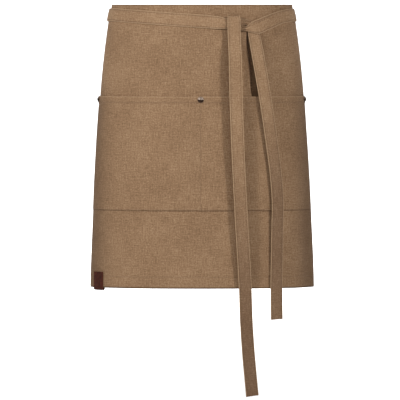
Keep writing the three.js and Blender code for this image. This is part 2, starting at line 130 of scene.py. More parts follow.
# The camera's view, with the photograph's middle column left of the apron's middle
CAMERA_DISTANCE = 5.0
CAMERA_ACROSS = -0.0036
VIEW_DOWN = 0.353
LENS = 249.2
SENSOR = 36
FAR_END = 50

# The studio: a floor swept up into a wall, and soft lights, each aimed at a place
FLOOR = -1.0
SWEEP_SIZE = 20
SWEEP_BENDS = 12
SWEEP_RADIUS = 1.2
WALL_HEIGHT = 4
SURROUND = 0.07
APRON_MIDDLE = (0, 0, -0.25)
LIGHTS = [
    {"name": "left_light", "place": (-1.5, -1.4, 0.6), "size": 0.36, "power": 27},
    {"name": "right_light", "place": (1.5, -1.4, 0.6), "size": 0.34, "power": 18.5},
    {"name": "front_light", "place": (0.0, -3.2, 1.0), "size": 1.2, "power": 8},
    {"name": "backdrop_light", "place": (0, 5.5, 4), "size": 4, "power": 900, "target": (0, 8, -0.8)},
]

# The worn skirt at shares of its length, with its width and depth as shares of the waist's
SECTIONS = [
    {"down": 0, "wide": 1, "deep": 1},
    {"down": 0.07, "wide": 1.04, "deep": 0.995},
    {"down": 0.22, "wide": 1.1, "deep": 0.985},
    {"down": 0.31, "wide": 1.126, "deep": 0.985},
    {"down": 0.48, "wide": 1.171, "deep": 0.995},
    {"down": 0.74, "wide": 1.226, "deep": 1.03},
    {"down": 1.03, "wide": 1.273, "deep": 1.07},
]

# Soft folds: places and spread as shares of half the panel, head and foot depth as shares of the fold depth,
# heights of the length
SOFT_FOLDS = [
    {"head": 0.153, "foot": 0.192, "spread": 0.048, "deep": (-0.6, -0.2), "start": 0.06, "end": 0.16},
    {"head": 0.32, "foot": 0.38, "spread": 0.032, "deep": (-0.5, -0.33), "start": 0.12, "end": 0.26},
    {"head": 0.49, "foot": 0.525, "spread": 0.05, "deep": (-0.33, -0.67), "start": 0.12, "end": 0.8},
    {"head": -0.375, "foot": -0.412, "spread": 0.085, "deep": (-0.1, -0.33), "start": 0.12, "end": 0.6},
    {"head": -0.67, "foot": -0.655, "spread": 0.06, "deep": (-0.17, -1), "start": 0.12, "end": 0.96},
    {"head": 0.68, "foot": 0.67, "spread": 0.06, "deep": (-0.17, -1), "start": 0.12, "end": 0.96},
    {"head": -0.825, "foot": -0.805, "spread": 0.055, "deep": (0.1, 0.83), "start": 0.16, "end": 0.96},
    {"head": 0.835, "foot": 0.815, "spread": 0.055, "deep": (0.1, 0.83), "start": 0.16, "end": 0.96},
]

# The sharp crease below the knot: places as shares of half the panel, its top from the knot's place in tie
# widths and its foot from the pocket's top in pocket heights
CREASE = {"head": 0.212, "foot": 0.231, "start": 0.1, "deepest": 1.6, "fade": -0.13, "end": 0.09}

# Tie routes: down, across and width in tie widths from the top edge or the knot, lift and thick in tie
# thicknesses, spin in degrees; over the pocket and at the foot, places are shares of pocket and skirt.
# Where a row doesn't say, width and thick are 1, over is 0, and the spin is that of a hanging tie
BACK_ROUTE = [
    {"turn": 165, "down": 0.57, "lift": 0.97},
    {"turn": 180, "down": 1.087, "lift": 0.97},
    {"turn": 195, "down": 1.53, "lift": 0.97},
    {"turn": 203, "down": 1.7, "lift": 1.09},
    {"turn": 222, "down": 1.565, "lift": 1.09},
    {"turn": 245, "down": 1.087, "lift": 1.3},
    {"turn": 268, "down": 0.804, "lift": 1.6},
    {"turn": 286, "down": 0.804, "lift": 1.6},
    {"turn": 303, "down": 0.935, "lift": 1.72},
]
CROSSING_LIFTS = [2.45, 2.6, 2.35, 1.3, 1.09, 1.47]
CROSSING_ROUTE = [
    *[{**row, "lift": lift} for row, lift in zip(BACK_ROUTE, CROSSING_LIFTS)],
    {"turn": 268, "down": 0.783, "lift": 2.1},
    {"turn": 286, "down": 0.774, "lift": 1.84},
    {"turn": 312, "down": 0.887, "lift": 1.22},
    {"turn": 338, "down": 1.07, "lift": 1.09},
]
LONG_KNOT = [
    {"across": 2.5, "down": -0.02, "lift": 2.47, "spin": 180, "width": 1.08},
    {"across": 1.89, "down": 0.24, "lift": 2.97, "spin": 180, "width": 1.1},
    {"across": 1.413, "down": 0.32, "lift": 3.15, "spin": 180, "width": 0.84, "thick": 1.12},
    {"across": 0.935, "down": 0.42, "lift": 2.1, "spin": 182, "width": 0.3, "thick": 1.25},
    {"across": 0.5, "down": 0.33, "lift": 0.82, "spin": 205, "width": 0.38, "thick": 1.25},
    {"across": 0.152, "down": 0.065, "lift": 0.72, "spin": 245, "width": 0.61, "thick": 1.12},
    {"across": 0.004, "down": -0.26, "lift": 0.72, "width": 0.78},
    {"across": 0, "down": -0.47, "lift": 1.6, "width": 0.91},
    {"across": 0, "down": -0.526, "lift": 2.85, "width": 0.957},
    {"across": 0, "down": -0.452, "lift": 4.1, "width": 0.98},
    {"across": 0.004, "down": -0.217, "lift": 4.85},
    {"across": 0.013, "down": 0.52, "lift": 4.72},
    {"across": 0.065, "down": 2.826, "lift": 8.8},
]
LONG_OVER_POCKET = [
    {"across": 0.353, "down": -0.01, "over": 0.8, "lift": 8},
    {"across": 0.37, "down": 0.361, "over": 0.6, "lift": 8},
    {"across": 0.404, "down": 0.896, "over": 0.48, "lift": 6.4},
]
LONG_FOOT = [
    {"across": 0.432, "down": -0.44, "over": 0.2, "lift": 5.6},
    {"across": 0.464, "down": 0, "lift": 3.7},
    {"across": 0.474, "down": 0.247, "lift": 3.2},
    {"across": 0.4975, "down": 0.56, "lift": 2.5},
    {"across": 0.546, "down": 1, "lift": 1.6},
]
SHORT_KNOT = [
    {"across": -2.543, "down": -0.165, "lift": 1.09, "spin": 0},
    {"across": -1.239, "down": -0.061, "lift": 1.84, "spin": 0, "width": 0.957},
    {"across": -0.4565, "down": 0.017, "lift": 2.66, "spin": 0, "width": 0.74},
    {"across": 0.065, "down": 0, "lift": 2.84, "spin": 0, "width": 0.674},
    {"across": 0.5435, "down": -0.087, "lift": 2.53, "spin": 2, "width": 0.4565, "thick": 1.25},
    {"across": 0.935, "down": -0.1, "lift": 1.22, "spin": 12, "width": 0.37, "thick": 1.25},
    {"across": 1.283, "down": 0.1, "lift": 0.78, "spin": 48, "width": 0.53, "thick": 1.12},
    {"across": 1.5, "down": 0.5, "lift": 0.75, "spin": 80, "width": 0.783},
    {"across": 1.6, "down": 1, "lift": 1.7, "spin": 88, "width": 0.935},
    {"across": 1.77, "down": 2.13, "lift": 3.7},
]
SHORT_OVER_POCKET = [
    {"across": 0.636, "down": -0.149, "over": 0.8, "lift": 3.7},
    {"across": 0.671, "down": 0.03, "over": 1, "lift": 4.1},
    {"across": 0.7337, "down": 0.376, "over": 0.9, "lift": 4.2},
    {"across": 0.79, "down": 0.723, "over": 0.7, "lift": 3.8},
    {"across": 0.8076, "down": 0.896, "over": 0.6, "lift": 3.4},
]
SHORT_FOOT = [
    {"across": 0.8076, "down": -1.6, "over": 0.2, "lift": 3.2},
    {"across": 0.805, "down": 0, "lift": 2.4},
    {"across": 0.811, "down": 1, "lift": 2},
]

# Rivet cap in profile, as radius and height in shares of its radius
RIVET_PROFILE = [
    (0.9, 0), (0.97, 0.03), (1, 0.1), (0.97, 0.17), (0.88, 0.2), (0.79, 0.19),
    (0.73, 0.24), (0.67, 0.36), (0.55, 0.46), (0.36, 0.52), (0.17, 0.545),
]


def ease(value, start, end):
    share = np.clip((value - start) / (end - start), 0, 1)
    return share * share * (3 - 2 * share)


def bell(distance, spread):
    return np.exp(-((distance / spread) ** 2))


def between(low, high, share):
    return low + (high - low) * share


def read_table(rows, key, column, value):
    """A column of a table read smoothly between its rows, without overshooting them."""
    keys = np.array([row[key] for row in rows], dtype=float)
    values = np.array([row[column] for row in rows], dtype=float)
    at = np.clip(value, keys[0], keys[-1])
    index = np.clip(np.searchsorted(keys, at, side="right") - 1, 0, len(keys) - 2)
    span = np.diff(keys)
    slope = np.diff(values) / span
    rising = slope[:-1] * slope[1:] > 0
    total = np.where(rising, slope[:-1] + slope[1:], 1)
    pull = np.zeros(len(keys))
    pull[1:-1] = np.where(rising, 2 * slope[:-1] * slope[1:] / total, 0)
    share = (at - keys[index]) / span[index]
    back = 1 - share
    ends = back * back * (1 + 2 * share) * values[index] + share * share * (3 - 2 * share) * values[index + 1]
    return ends + share * back * span[index] * (back * pull[index] - share * pull[index + 1])


def signed_power(value, power):
    return np.sign(value) * np.abs(value) ** power


def section_at(down):
    half = WAIST_WIDTH / 2 * read_table(SECTIONS, "down", "wide", down / PANEL_LENGTH)
    depth = WAIST_DEPTH / 2 * read_table(SECTIONS, "down", "deep", down / PANEL_LENGTH)
    return half, depth


def section_point(half, depth, turn):
    """Point of the plain section at a turn from the front, counted towards the right."""
    x = half * signed_power(np.sin(turn), 2 / SECTION_POWER)
    y = -depth * signed_power(np.cos(turn), 2 / SECTION_POWER)
    return x, y


# The turn at each length along half a section, worked out once for evenly spaced heights; the lengths go on
# past half of the widest section
LEVELS = np.linspace(0, SECTIONS[-1]["down"] * PANEL_LENGTH, 207)
LENGTHS = np.linspace(0, 0.6, 601)
TURNS = np.linspace(0, math.pi, 1441)


def measured_turns():
    rows = []
    lengths = []
    for level in LEVELS:
        x, y = section_point(*section_at(level), TURNS)
        run = np.concatenate([[0], np.cumsum(np.hypot(np.diff(x), np.diff(y)))])
        rows.append(np.interp(LENGTHS, run, TURNS))
        lengths.append(run[-1])
    return np.array(rows), np.array(lengths)


turn_table, half_rounds = measured_turns()
SIDE_EDGE = half_rounds[0] - BACK_GAP / 2
SIDE_SEAM = SIDE_EDGE - SIDE_HEM + HEM_INSET
FOOT_SEAM = PANEL_LENGTH - BOTTOM_HEM + HEM_INSET
HEAD_SEAM = TOP_HEM - HEM_INSET
POCKET_SEAM = POCKET_TOP + POCKET_HEM - HEM_INSET


def turn_at(arc, down):
    level = np.clip(down / LEVELS[1], 0, len(LEVELS) - 1.001)
    length = np.clip(np.abs(arc) / LENGTHS[1], 0, len(LENGTHS) - 1.001)
    row = level.astype(int)
    column = length.astype(int)
    level_share = level - row
    length_share = length - column
    upper = between(turn_table[row, column], turn_table[row, column + 1], length_share)
    lower = between(turn_table[row + 1, column], turn_table[row + 1, column + 1], length_share)
    return np.sign(arc) * between(upper, lower, level_share)


def turn_across(across, down):
    half, _ = section_at(down)
    return np.sign(across) * np.arcsin((np.abs(across) / half) ** (SECTION_POWER / 2))


def section_along(turn, down):
    """The way along the section at a turn, as unit steps across and back."""
    half, depth = section_at(down)
    small = PROBE / half
    ahead_x, ahead_y = section_point(half, depth, turn + small)
    behind_x, behind_y = section_point(half, depth, turn - small)
    x, y = ahead_x - behind_x, ahead_y - behind_y
    length = np.hypot(x, y)
    return x / length, y / length


def skirt_point(turn, down, out):
    """A place on the worn skirt, a distance out from its plain surface, for arrays of any one shape."""
    turn, down, out = np.broadcast_arrays(turn, down, out)
    x, y = section_point(*section_at(down), turn)
    along_x, along_y = section_along(turn, down)
    droop = HEM_DROP * (1 - np.cos(turn)) / 2
    return np.stack([x + along_y * out, y - along_x * out, -down * (1 + droop / PANEL_LENGTH)], axis=-1)


def fold_depth(arc, down):
    """How far the soft folds move the cloth out at a place on it."""
    share = down / PANEL_LENGTH
    total = np.zeros(np.shape(share * arc))
    for fold in SOFT_FOLDS:
        place = SIDE_EDGE * between(fold["head"], fold["foot"], share)
        depth = FOLD_DEPTH * between(*fold["deep"], share) * ease(share, fold["start"], fold["end"])
        total = total + depth * bell(arc - place, SIDE_EDGE * fold["spread"])
    return total


CREASE_HEAD = SIDE_EDGE * CREASE["head"]
CREASE_FOOT = SIDE_EDGE * CREASE["foot"]
CREASE_START = KNOT_DOWN + TIE_WIDTH * CREASE["start"]
CREASE_DEEPEST = KNOT_DOWN + TIE_WIDTH * CREASE["deepest"]
CREASE_FADE = POCKET_TOP + POCKET_HEIGHT * CREASE["fade"]
CREASE_END = POCKET_TOP + POCKET_HEIGHT * CREASE["end"]


def crease_place(down):
    return between(CREASE_HEAD, CREASE_FOOT, ease(down, CREASE_START, CREASE_FADE))


def crease_depth(arc, down):
    strength = ease(down, CREASE_START, CREASE_DEEPEST) * (1 - ease(down, CREASE_FADE, CREASE_END))
    distance = arc - crease_place(down)
    return -CREASE_DEPTH * strength * bell(distance, np.where(distance < 0, CREASE_STEEP, CREASE_GENTLE))


def leaning_arc(column, down):
    """Columns lean with the crease, so that they follow it down the cloth."""
    lean = crease_place(down) - CREASE_HEAD
    return column + lean * bell(column - CREASE_HEAD, 2 * CREASE_GENTLE)


def panel_middle(arc, down):
    return skirt_point(turn_at(arc, down), down, fold_depth(arc, down) + crease_depth(arc, down))


def pocket_slack(arc, down):
    half = POCKET_WIDTH / 2
    height = (down - POCKET_TOP) / POCKET_HEIGHT
    sag = np.sin(math.pi * (arc - POCKET_ACROSS) / half) ** 2
    return POCKET_SLACK * sag * (1 - ease(height, SLACK_FADE, 1))


def pocket_middle(arc, down):
    stand = CANVAS / 2 + GAP + POCKET_CANVAS / 2
    return skirt_point(turn_at(arc, down), down, fold_depth(arc, down) + pocket_slack(arc, down) + stand)


def unit(vectors):
    return vectors / np.linalg.norm(vectors, axis=-1, keepdims=True)


def surface_normal(surface, arc, down):
    """Outward normal of a cloth surface, from its own points nearby."""
    near = np.maximum(0, down - PROBE)
    down_way = surface(arc, down + PROBE) - surface(arc, near)
    along_way = surface(arc + PROBE, down) - surface(arc - PROBE, down)
    return unit(np.cross(down_way, along_way))


def grid_stops(start, end, step, needed):
    """Even stops between two ends, joined by the stops that must be there."""
    stops = [start, end, *[stop for stop in needed if start < stop < end]]
    for stop in np.linspace(start, end, round((end - start) / step) + 1)[1:-1]:
        if min(abs(stop - other) for other in stops) > step / 3:
            stops.append(stop)
    return np.array(sorted(stops))


class Value:
    """A socket of a material's node tree, with its maths written as plain expressions."""

    def __init__(self, finish, socket):
        self.finish = finish
        self.socket = socket

    def maths(self, operation, *others):
        inputs = dict(enumerate([self, *others]))
        return self.finish.node("ShaderNodeMath", {"operation": operation}, inputs)

    def __add__(self, other):
        return self.maths("ADD", other)

    def __sub__(self, other):
        return self.maths("SUBTRACT", other)

    def __mul__(self, other):
        return self.maths("MULTIPLY", other)

    def __rsub__(self, other):
        return self.finish.node("ShaderNodeMath", {"operation": "SUBTRACT"}, {0: other, 1: self})

    __radd__ = __add__
    __rmul__ = __mul__

    def wave(self):
        return self.maths("SINE")

    def size(self):
        return self.maths("ABSOLUTE")

    def larger(self, other):
        return self.maths("MAXIMUM", other)


class Finish:
    """One procedural material, with the few calls that its nodes need."""

    def __init__(self, name):
        self.material = bpy.data.materials.new(name)
        self.material.use_nodes = True
        self.tree = self.material.node_tree
        self.shader = self.tree.nodes["Principled BSDF"]

    def feed(self, socket, value):
        if isinstance(value, Value):
            self.tree.links.new(value.socket, socket)
        else:
            socket.default_value = value

    def node(self, kind, settings=None, inputs=None, output=0):
        node = self.tree.nodes.new(kind)
        for name, value in (settings or {}).items():
            if name == "stops":
                self.set_stops(node.color_ramp, value)
            else:
                setattr(node, name, value)
        for name, value in (inputs or {}).items():
            self.feed(node.inputs[name], value)
        return Value(self, node.outputs[output])

    def set_stops(self, ramp, stops):
        while len(ramp.elements) < len(stops):
            ramp.elements.new(1)
        for element, (place, colour) in zip(ramp.elements, stops):
            element.position = place
            element.color = colour

    def surface(self, **values):
        for name, value in values.items():
            self.feed(self.shader.inputs[name.replace("_", " ").title()], value)

    def shine(self, level):
        self.shader.inputs["Specular IOR Level"].default_value = level

    def place(self, source):
        return self.node("ShaderNodeTexCoord", output=source)

    def split(self, vector):
        parts = self.node("ShaderNodeSeparateXYZ", inputs={0: vector})
        outputs = parts.socket.node.outputs
        return [Value(self, outputs[axis]) for axis in range(3)]

    def joined(self, x, y, z=0.0):
        return self.node("ShaderNodeCombineXYZ", inputs={0: x, 1: y, 2: z})

    def noise(self, vector, scale, detail=2.0, roughness=0.5):
        inputs = {"Vector": vector, "Scale": scale, "Detail": detail, "Roughness": roughness}
        return self.node("ShaderNodeTexNoise", inputs=inputs)

    def ramp(self, factor, *stops):
        return self.node("ShaderNodeValToRGB", {"stops": stops}, {"Fac": factor})

    def spread(self, value, low, high, start=0.0, end=1.0):
        inputs = {"Value": value, "From Min": low, "From Max": high, "To Min": start, "To Max": end}
        return self.node("ShaderNodeMapRange", {"interpolation_type": "SMOOTHSTEP"}, inputs)

    def mixed(self, factor, first, second, blend="MIX"):
        node = self.tree.nodes.new("ShaderNodeMix")
        node.data_type = "RGBA"
        node.blend_type = blend
        colours = [socket for socket in node.inputs if socket.type == "RGBA"]
        self.feed(node.inputs["Factor"], factor)
        self.feed(colours[0], first)
        self.feed(colours[1], second)
        return Value(self, next(socket for socket in node.outputs if socket.type == "RGBA"))

    def line_mask(self, u, v, lines):
        """Nearness to lines on the flat cloth, each an axis, a place on it, a half width and a strength."""
        mask = 0.0
        for axis, place, half, strength in lines:
            distance = ((u if axis == "u" else v) - place).size()
            mask = self.spread(distance, half * 0.4, half, strength, 0.0).larger(mask)
        return mask

    def bumped(self, height, depth, strength=1.0, normal=None):
        inputs = {"Height": height, "Distance": depth, "Strength": strength}
        if normal:
            inputs["Normal"] = normal
        return self.node("ShaderNodeBump", inputs=inputs)


def linear(red, green, blue):
    """A shader colour from a swatch's everyday 0 to 255 values."""
    shares = [value / 255 for value in (red, green, blue)]
    channels = [share / 12.92 if share <= 0.04045 else ((share + 0.055) / 1.055) ** 2.4 for share in shares]
    return (*channels, 1.0)


CANVAS_TAN = linear(157, 124, 93)
CANVAS_SHADE = linear(124, 95, 69)
CANVAS_LIGHT = linear(188, 155, 121)
TIE_TAN = linear(165, 131, 99)
TIE_SHADE = linear(139, 108, 80)
TIE_LIGHT = linear(197, 165, 130)
# Dark of the seams, also used for painted shade
SEAM_AND_SHADE_DARK = linear(84, 62, 44)
# Tints of the painted shade towards the ties' ends
LONG_END_SHADE_TINT = (0.56, 0.53, 0.54, 1)
SHORT_END_SHADE_TINT = (0.68, 0.66, 0.67, 1)
THREAD_TAN = linear(158, 127, 98)
THREAD_SHADE = linear(128, 100, 75)
LEATHER_BROWN = linear(74, 32, 19)
LEATHER_DARK = linear(46, 19, 12)
LEATHER_WORN = linear(100, 50, 32)
RIVET_DARK = linear(66, 48, 38)
RIVET_BRIGHT = linear(190, 170, 154)

# The canvas: its yarns, its noises' scales, and how deep its weave and its seams look
YARN_PITCH = 0.0009
SLUBS = 900.0
SLUB_STRETCH = 0.06
MOTTLE = 360.0
CLOUD = 14.0
SEAM_RIPPLE = 150.0
WEAVE_DEPTH = 0.00022
SEAM_DEPTH = 0.0007

# Where cloth darkens, in metres: before a tie's end, and from the skirt's middle and the pocket's top. It was
# set by the photo's tones, and both darkenings are painted shade
LONG_DARKENS = (0.55, 0.02)
SHORT_DARKENS = (0.42, 0.2)
SIDE_SHADE_INNER = 0.155
SIDE_SHADE_OUTER = 0.225
SIDE_SHADE_ABOVE = 0.05
SIDE_SHADE_BELOW = 0.03
SIDE_SHADE_STRENGTH = 0.55

# Rivets and tag: half the band where a cap turns to its painted highlight, and where the tag's edge starts
# and ends its wear
HIGHLIGHT_BAND = 0.0012
TAG_WEAR_START = 0.0022
TAG_WEAR_FULL = 0.0004


def canvas(name, tan, shade, light, seam_and_shade_lines=(), lit_and_worn_edges=(), end_shade=None, side_shade=None):
    """Heathered plain-weave canvas with dark seam lines, dark lines of painted shade along some edges, and
    edges made lighter, partly as wear and partly as painted highlight.

    End shade is where a tie darkens along its length, side shade where the skirt darkens towards its sides;
    both are painted shade."""
    finish = Finish(name)
    flat = finish.place("UV")
    u, v, _ = finish.split(flat)
    warp = (u * (math.pi / YARN_PITCH)).wave()
    weft = (v * (math.pi / YARN_PITCH)).wave()
    weave = warp * weft
    warp_slubs = finish.noise(finish.joined(u, v * SLUB_STRETCH), SLUBS, 3.0, 0.6)
    weft_slubs = finish.noise(finish.joined(u * SLUB_STRETCH, v), SLUBS, 3.0, 0.6)
    over = finish.spread(weave, -0.4, 0.4)
    yarn = warp_slubs * over + weft_slubs * (1 - over)
    mottle = finish.noise(flat, MOTTLE, 3.0, 0.7)
    cloud = finish.noise(flat, CLOUD, 3.0, 0.55)
    tone = (yarn - 0.5) * 1.5 + (mottle - 0.5) * 1.0 + (cloud - 0.5) * 0.4 + 0.5
    colour = finish.ramp(tone, (0.16, shade), (0.5, tan), (0.84, light))
    pits = finish.spread(weave.size(), 0.0, 0.35, 0.82, 1.0)
    colour = finish.mixed(1.0, colour, finish.joined(pits, pits, pits), "MULTIPLY")
    height = weave * 0.5 + (yarn - 0.5) * 1.2
    normal = finish.bumped(height, WEAVE_DEPTH, 0.6)
    # Painted shade: the tie darkens towards its end
    if end_shade:
        start, end, left = end_shade
        darker = finish.mixed(1.0, colour, left, "MULTIPLY")
        colour = finish.mixed(finish.spread(v, start, end), colour, darker)
    # Painted shade: the skirt darkens towards its sides, from just above the pocket's top downwards
    if side_shade:
        inner, outer, top, foot, strength = side_shade
        depth = finish.spread(u.size(), inner, outer, 0.0, strength) * finish.spread(v, top, foot)
        colour = finish.mixed(depth, colour, SEAM_AND_SHADE_DARK)
    # Lighter edges: partly wear and partly painted highlight
    if lit_and_worn_edges:
        wear_and_highlight = finish.line_mask(u, v, lit_and_worn_edges) * finish.spread(mottle, 0.3, 0.55, 0.4, 1.0)
        colour = finish.mixed(wear_and_highlight, colour, light)
    # Dark lines: seams, and painted shade along the panel's top and bottom edges and round the pocket's foot
    # and sides
    if seam_and_shade_lines:
        depth = finish.line_mask(u, v, seam_and_shade_lines)
        ripple = finish.noise(flat, SEAM_RIPPLE, 1.0, 0.5)
        colour = finish.mixed(depth, colour, SEAM_AND_SHADE_DARK)
        normal = finish.bumped(depth * (ripple - 1.2), SEAM_DEPTH, 0.5, normal)
    rough = 0.8 + (mottle - 0.5) * 0.2
    finish.surface(base_color=colour, roughness=rough, normal=normal, sheen_weight=0.05, sheen_roughness=0.6)
    finish.shine(0.12)
    return finish.material


def sewing_thread():
    finish = Finish("sewing_thread")
    place = finish.place("Object")
    twist = finish.noise(place, 2600.0, 1.0)
    tone = finish.noise(place, 90.0, 1.0)
    colour = finish.ramp(twist * 0.7 + tone * 0.3, (0.35, THREAD_SHADE), (0.65, THREAD_TAN))
    finish.surface(base_color=colour, roughness=0.6 + twist * 0.2, normal=finish.bumped(twist, 0.0001, 0.5))
    return finish.material


def rivet_metal():
    """Dark metal, brighter in patches of wear, with a painted highlight across the caps' upper half."""
    finish = Finish("rivet_metal")
    place = finish.place("Object")
    patina = finish.noise(place, 520.0, 4.0, 0.6)
    scuffs = finish.noise(place, 2400.0, 2.0)
    height = finish.split(place)[2]
    middle = -POCKET_TOP - RIVET_DROP
    # Painted highlight across the cap's upper half
    painted_highlight = finish.spread(height, middle - HIGHLIGHT_BAND, middle + HIGHLIGHT_BAND)
    # The bright share mixes the painted highlight with patchy wear
    worn = painted_highlight * 0.75 + finish.spread(patina, 0.48, 0.66) * 0.25
    colour = finish.mixed(worn, RIVET_DARK, RIVET_BRIGHT)
    rough = 0.28 + patina * 0.1 + scuffs * 0.06
    scuffed = finish.bumped(scuffs, 0.00004, 0.4)
    finish.surface(base_color=colour, roughness=rough, metallic=0.9, normal=scuffed)
    return finish.material


def tag_leather():
    finish = Finish("tag_leather")
    place = finish.place("UV")
    u, v, _ = finish.split(place)
    cells = {"Vector": place, "Scale": 1500.0, "Randomness": 0.9}
    grain = finish.node("ShaderNodeTexVoronoi", {"feature": "DISTANCE_TO_EDGE"}, cells)
    pores = finish.spread(grain, 0.0, 0.22)
    cloud = finish.noise(place, 160.0, 4.0, 0.6)
    colour = finish.ramp(cloud, (0.3, LEATHER_DARK), (0.55, LEATHER_BROWN), (0.74, LEATHER_WORN))
    side = finish.spread(u.size(), TAG_WIDTH / 2 - TAG_WEAR_START, TAG_WIDTH / 2 - TAG_WEAR_FULL)
    colour = finish.mixed(side * 0.45, colour, LEATHER_WORN)
    creases = finish.noise(finish.joined(u * 0.4, v), 700.0, 3.0, 0.6)
    height = pores * 0.6 + creases * 0.5
    rough = 0.62 + (cloud - 0.5) * 0.25 - pores * 0.06
    finish.surface(base_color=colour, roughness=rough, normal=finish.bumped(height, 0.00018, 0.6))
    finish.shine(0.2)
    return finish.material


def studio_floor():
    finish = Finish("studio_floor")
    place = finish.place("Object")
    grain = finish.noise(place, 3.0, 2.0)
    colour = finish.ramp(grain, (0.0, (0.86, 0.86, 0.86, 1)), (1.0, (0.88, 0.88, 0.88, 1)))
    finish.surface(base_color=colour, roughness=0.9)
    finish.shine(0.0)
    return finish.material


def new_sheet(name, columns, rows):
    """A flat cut of cloth or leather: a grid with its lines at given places and its flat places as UVs."""
    bpy.ops.object.select_all(action="DESELECT")
    bpy.ops.mesh.primitive_grid_add(x_subdivisions=len(columns) - 1, y_subdivisions=len(rows) - 1, size=1)
    sheet = bpy.context.object
    sheet.name = name
    mesh = sheet.data
    mesh.name = name
    corner = np.empty(len(mesh.vertices) * 3)
    mesh.vertices.foreach_get("co", corner)
    corner = corner.reshape(-1, 3)
    column = np.rint((corner[:, 0] + 0.5) * (len(columns) - 1)).astype(int)
    row = np.rint((corner[:, 1] + 0.5) * (len(rows) - 1)).astype(int)
    flat = np.stack([columns[column], rows[row]], axis=-1)
    loop_vertex = np.empty(len(mesh.loops), dtype=int)
    mesh.loops.foreach_get("vertex_index", loop_vertex)
    mesh.uv_layers[0].name = "flat_cloth"
    mesh.uv_layers[0].data.foreach_set("uv", flat[loop_vertex].ravel())
    return sheet, flat


def shape_sheet(sheet, points):
    sheet.data.vertices.foreach_set("co", np.ascontiguousarray(points).ravel())
    sheet.data.update()


def apply_modifiers(piece):
    bpy.ops.object.select_all(action="DESELECT")
    piece.select_set(True)
    bpy.context.view_layer.objects.active = piece
    for modifier in list(piece.modifiers):
        bpy.ops.object.modifier_apply(modifier=modifier.name)
    bpy.ops.object.shade_smooth_by_angle(angle=math.radians(CLOTH_SMOOTH))


def add_wall(piece, thickness, offset, thin_share=None, thin=None):
    """Gives a sheet its wall, thinner where the thin share says so, with softly rounded edges."""
    wall = piece.modifiers.new("wall", "SOLIDIFY")
    wall.thickness = thickness
    wall.offset = offset
    wall.use_even_offset = False
    if thin is not None:
        group = piece.vertex_groups.new(name="folded")
        for share in np.unique(np.round(thin, 2)):
            members = np.nonzero(np.round(thin, 2) == share)[0].tolist()
            group.add(members, float(share), "REPLACE")
        wall.vertex_group = group.name
        wall.thickness_vertex_group = thin_share
    rounding = piece.modifiers.new("rounded_edges", "BEVEL")
    rounding.width = EDGE_ROUND
    rounding.segments = 2
    rounding.limit_method = "ANGLE"
    rounding.angle_limit = math.radians(ROUNDED_ANGLE)
    apply_modifiers(piece)


def dress(piece, material, slot, *nodes):
    piece.data.materials.clear()
    piece.data.materials.append(material)
    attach(piece, "root")
    if nodes:
        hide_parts(*nodes)


def hem_share(column, down):
    """1 where the panel's edge is folded in, 0 where it is a single layer."""
    side = ease(np.abs(column), SIDE_EDGE - SIDE_HEM - HEM_STEP, SIDE_EDGE - SIDE_HEM)
    foot = ease(down, PANEL_LENGTH - BOTTOM_HEM - HEM_STEP, PANEL_LENGTH - BOTTOM_HEM)
    head = 1 - ease(down, TOP_HEM, TOP_HEM + HEM_STEP)
    return np.maximum(np.maximum(side, foot), head)


def crease_columns():
    """Lines of the mesh where the crease bends the cloth most."""
    steep = CREASE_HEAD - np.linspace(0.2, 2.4, 12) * CREASE_STEEP
    gentle = CREASE_HEAD + np.linspace(0.1, 0.5, 4) * CREASE_GENTLE
    return [CREASE_HEAD, *steep, *gentle]


PANEL_HEMS = [
    -SIDE_EDGE + SIDE_HEM,
    -SIDE_EDGE + SIDE_HEM + HEM_STEP,
    SIDE_EDGE - SIDE_HEM - HEM_STEP,
    SIDE_EDGE - SIDE_HEM,
]


def apron_panel(material):
    columns = grid_stops(-SIDE_EDGE, SIDE_EDGE, CLOTH_STEP, [*PANEL_HEMS, *crease_columns()])
    hem_rows = [TOP_HEM, TOP_HEM + HEM_STEP, PANEL_LENGTH - BOTTOM_HEM - HEM_STEP, PANEL_LENGTH - BOTTOM_HEM]
    rows = grid_stops(0, PANEL_LENGTH, CLOTH_STEP, [*hem_rows, POCKET_TOP, POCKET_FOOT])
    panel, flat = new_sheet("canvas_panel", columns, rows[::-1])
    column, down = flat[:, 0], flat[:, 1]
    arc = leaning_arc(column, down)
    outer = panel_middle(arc, down) + surface_normal(panel_middle, arc, down) * (CANVAS / 2)
    shape_sheet(panel, outer)
    thin = CANVAS / (CANVAS + HEM_FOLD)
    add_wall(panel, CANVAS + HEM_FOLD, -1, thin, hem_share(column, down))
    dress(panel, material, "panel_canvas", "apron_panel")


def pocket_hem_share(down):
    """1 where the pocket's top is folded in, 0 where it is a single layer."""
    return 1 - ease(down, POCKET_TOP + POCKET_HEM, POCKET_TOP + POCKET_HEM + HEM_STEP)


def pocket_outer(arc, down):
    lift = (POCKET_CANVAS / 2 + POCKET_HEM_FOLD * pocket_hem_share(down))[..., None]
    return pocket_middle(arc, down) + surface_normal(pocket_middle, arc, down) * lift


def pocket_patch(material):
    columns = grid_stops(POCKET_LEFT, POCKET_RIGHT, POCKET_STEP, crease_columns())
    hem_rows = [POCKET_TOP + POCKET_HEM, POCKET_TOP + POCKET_HEM + HEM_STEP]
    rows = grid_stops(POCKET_TOP, POCKET_FOOT, POCKET_STEP, hem_rows)
    patch, flat = new_sheet("canvas_pocket", columns, rows[::-1])
    column, down = flat[:, 0], flat[:, 1]
    arc = leaning_arc(column, down)
    shape_sheet(patch, pocket_outer(arc, down))
    thin = POCKET_CANVAS / (POCKET_CANVAS + POCKET_HEM_FOLD)
    add_wall(patch, POCKET_CANVAS + POCKET_HEM_FOLD, -1, thin, pocket_hem_share(down))
    dress(patch, material, "pocket_canvas", "pocket")


